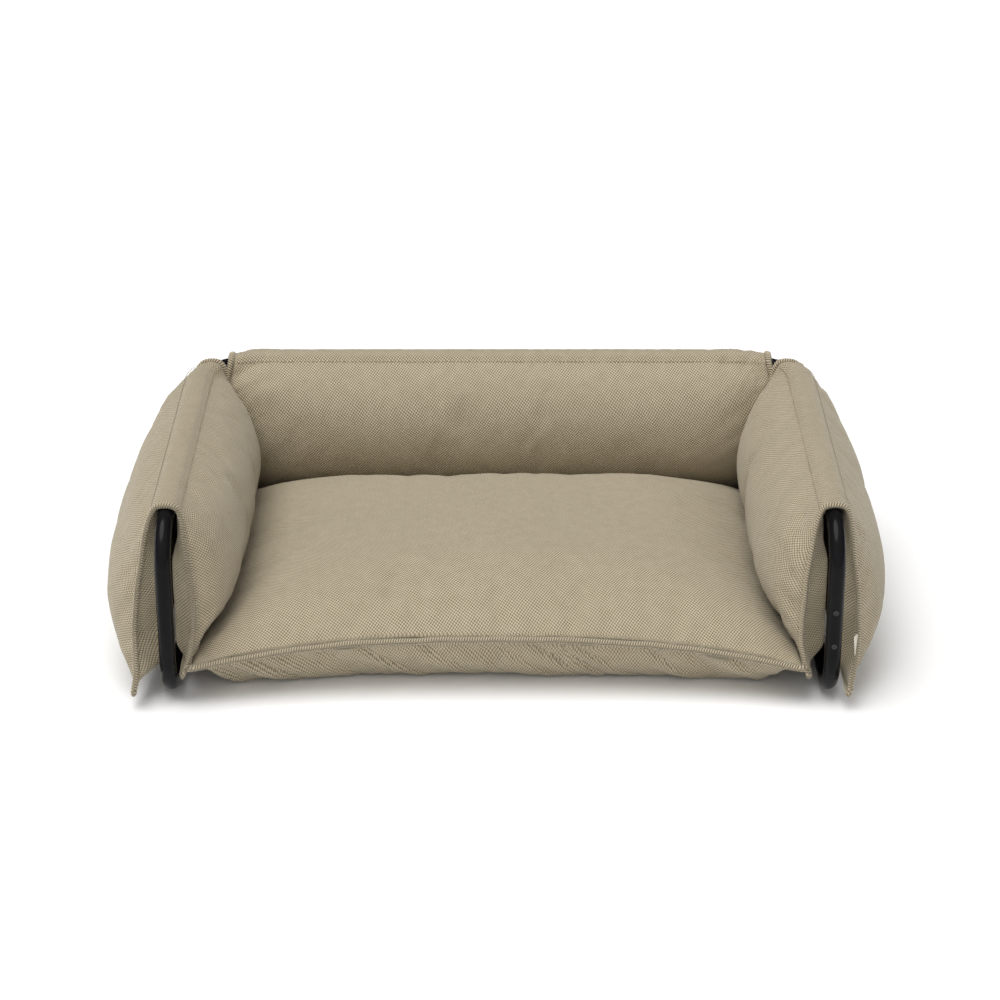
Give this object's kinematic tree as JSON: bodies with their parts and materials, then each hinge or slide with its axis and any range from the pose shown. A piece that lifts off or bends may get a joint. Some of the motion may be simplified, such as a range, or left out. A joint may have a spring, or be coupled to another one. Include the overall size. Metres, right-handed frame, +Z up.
{
  "type": "dog bed with frame",
  "caption": "Low sofa-style dog bed: a padded quilt folded over the side and back rails of a bent black steel tube frame, with a crowned seat cushion between them.",
  "frame": {"origin": "on the floor, at the centre of the bed's footprint", "axes": "+Z up; -Y towards the open front; +X to the right as seen from the front, along the back rail"},
  "size_m": [1.052, 0.6838, 0.2693],
  "materials": {
    "frame_paint": "satin",
    "screw_black": "satin",
    "inner_steel": "satin",
    "glide_rubber": "matte",
    "quilt_fabric": "matte",
    "fibre_fill": "matte",
    "label_ribbon": "matte",
    "zip_tape": "matte",
    "zip_coil": "satin",
    "zip_metal": "satin"
  },
  "bodies": {
    "bed": {"upper_frame": "frame_paint", "lower_frame": "frame_paint", "rear_post_left": "frame_paint", "rear_post_right": "frame_paint", "rear_spigot_left": "inner_steel", "rear_spigot_right": "inner_steel", "leg_sleeve_left": "inner_steel", "leg_sleeve_right": "inner_steel", "leg_screws": "screw_black", "post_screws": "screw_black", "floor_glides": "glide_rubber", "seat_cover": "quilt_fabric", "seat_fill": "fibre_fill", "back_inner_cover": "quilt_fabric", "back_inner_fill": "fibre_fill", "arm_inner_left_cover": "quilt_fabric", "arm_inner_left_fill": "fibre_fill", "arm_inner_right_cover": "quilt_fabric", "arm_inner_right_fill": "fibre_fill", "arm_channel_left": "quilt_fabric", "arm_channel_right": "quilt_fabric", "back_channel": "quilt_fabric"},
    "left_flap": {"arm_outer_left_cover": "quilt_fabric", "arm_outer_left_fill": "fibre_fill"},
    "right_flap": {"arm_outer_right_cover": "quilt_fabric", "arm_outer_right_fill": "fibre_fill", "side_label": "label_ribbon"},
    "back_flap": {"back_outer_cover": "quilt_fabric", "back_outer_fill": "fibre_fill", "zip_tape": "zip_tape", "zip_coil": "zip_coil", "zip_stops": "zip_metal"},
    "slider": {"zip_slider": "zip_metal"},
    "pull": {"zip_pull": "zip_metal"}
  },
  "joints": [
    {"name": "left_flap_lift", "type": "hinge", "parent": "bed", "child": "left_flap", "pos_m": [-0.44, -0.0341, 0.252], "axis": [0, 1, 0], "range_deg": [0, 90]},
    {"name": "right_flap_lift", "type": "hinge", "parent": "bed", "child": "right_flap", "pos_m": [0.44, -0.0341, 0.252], "axis": [0, -1, 0], "range_deg": [0, 90]},
    {"name": "back_flap_lift", "type": "hinge", "parent": "bed", "child": "back_flap", "pos_m": [0, 0.2709, 0.252], "axis": [1, 0, 0], "range_deg": [0, 90]},
    {"name": "zip_travel", "type": "slide", "parent": "back_flap", "child": "slider", "axis": [1, 0, 0], "range_m": [-0.58, 0]},
    {"name": "pull_swing", "type": "hinge", "parent": "slider", "child": "pull", "pos_m": [0.2902, 0.2949, 0.0156], "axis": [0, 1, 0], "range_deg": [-75, 75]}
  ]
}
